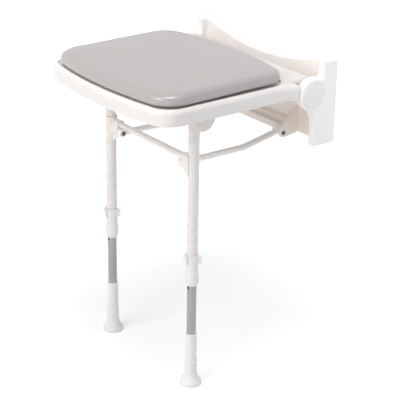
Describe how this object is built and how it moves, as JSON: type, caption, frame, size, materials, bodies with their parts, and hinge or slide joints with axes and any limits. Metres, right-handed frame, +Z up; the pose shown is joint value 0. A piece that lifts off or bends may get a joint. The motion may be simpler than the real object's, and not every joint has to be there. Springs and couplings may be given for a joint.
{
  "type": "fold-up shower seat",
  "caption": "Wall-mounted fold-up shower seat: moulded bracket and seat frame, padded top, height-adjustable legs with rubber feet and folding stays.",
  "frame": {"origin": "centre of the four wall screws on the wall plane", "axes": "+X to the right facing the wall, +Y into the wall, +Z up"},
  "size_m": [0.4166, 0.4375, 0.662],
  "materials": {
    "bracket_plastic": "glossy moulded",
    "frame_plastic": "glossy moulded",
    "cap_plastic": "glossy moulded",
    "pad_foam": "smooth moulded foam skin",
    "leg_paint": "gloss white powder coat",
    "stay_paint": "gloss white powder coat",
    "saddle_nylon": "satin",
    "collar_nylon": "satin",
    "clip_nylon": "satin",
    "bush_nylon": "satin",
    "sleeve_plastic": "glossy",
    "inner_aluminium": "satin anodised",
    "foot_rubber": "matt white rubber",
    "pin_steel": "bright",
    "dark_screw": "dark zinc"
  },
  "bodies": {
    "wall_bracket": {"wall_bracket": "bracket_plastic", "stay_nuts": "pin_steel", "hinge_pin_left": "pin_steel", "hinge_pin_right": "pin_steel", "hinge_cap_left": "cap_plastic", "hinge_cap_right": "cap_plastic", "stay_screw_left": "dark_screw", "stay_screw_right": "dark_screw"},
    "seat": {"seat_frame": "frame_plastic", "seat_pad": "pad_foam", "pad_screws": "pin_steel", "hinge_bush_left": "bush_nylon", "hinge_bush_right": "bush_nylon", "leg_pin_left": "pin_steel", "leg_pin_right": "pin_steel"},
    "leg_frame": {"cross_tube": "leg_paint", "saddle_screws": "dark_screw", "leg_tube_left": "leg_paint", "leg_tube_right": "leg_paint", "leg_plug_left": "bush_nylon", "leg_plug_right": "bush_nylon", "leg_bush_left": "bush_nylon", "leg_bush_right": "bush_nylon", "saddle_left": "saddle_nylon", "saddle_right": "saddle_nylon", "guide_collar_left": "collar_nylon", "guide_collar_right": "collar_nylon"},
    "stay_left": {"stay_left": "stay_paint"},
    "foot_left": {"inner_tube_left": "inner_aluminium", "tube_glide_left": "bush_nylon", "foot_sleeve_left": "sleeve_plastic", "rubber_foot_left": "foot_rubber"},
    "clip_left": {"lock_clip_left": "clip_nylon"},
    "stay_right": {"stay_right": "stay_paint"},
    "foot_right": {"inner_tube_right": "inner_aluminium", "tube_glide_right": "bush_nylon", "foot_sleeve_right": "sleeve_plastic", "rubber_foot_right": "foot_rubber"},
    "clip_right": {"lock_clip_right": "clip_nylon"}
  },
  "joints": [
    {"name": "seat_fold", "type": "hinge", "parent": "wall_bracket", "child": "seat", "pos_m": [0, -0.058, 0.024], "axis": [-1, 0, 0], "range_deg": [0, 84]},
    {"name": "leg_fold", "type": "hinge", "parent": "seat", "child": "leg_frame", "pos_m": [0, -0.305, 0.009], "axis": [1, 0, 0], "range_deg": [0, 84]},
    {"name": "stay_fold_left", "type": "hinge", "parent": "wall_bracket", "child": "stay_left", "pos_m": [0, -0.058, -0.081], "axis": [-1, 0, 0], "range_deg": [0, 84]},
    {"name": "leg_height_left", "type": "slide", "parent": "leg_frame", "child": "foot_left", "axis": [0, 0, 1], "range_m": [-0.032, 0.064]},
    {"name": "clip_pull_left", "type": "slide", "parent": "leg_frame", "child": "clip_left", "axis": [0, -1, 0], "range_m": [0, 0.007]},
    {"name": "stay_fold_right", "type": "hinge", "parent": "wall_bracket", "child": "stay_right", "pos_m": [0, -0.058, -0.081], "axis": [-1, 0, 0], "range_deg": [0, 84]},
    {"name": "leg_height_right", "type": "slide", "parent": "leg_frame", "child": "foot_right", "axis": [0, 0, 1], "range_m": [-0.032, 0.064]},
    {"name": "clip_pull_right", "type": "slide", "parent": "leg_frame", "child": "clip_right", "axis": [0, -1, 0], "range_m": [0, 0.007]}
  ],
  "couplings": [
    {"joint": "leg_fold", "follows": "seat_fold", "ratio": 1},
    {"joint": "stay_fold_left", "follows": "seat_fold", "ratio": 1},
    {"joint": "stay_fold_right", "follows": "seat_fold", "ratio": 1}
  ]
}
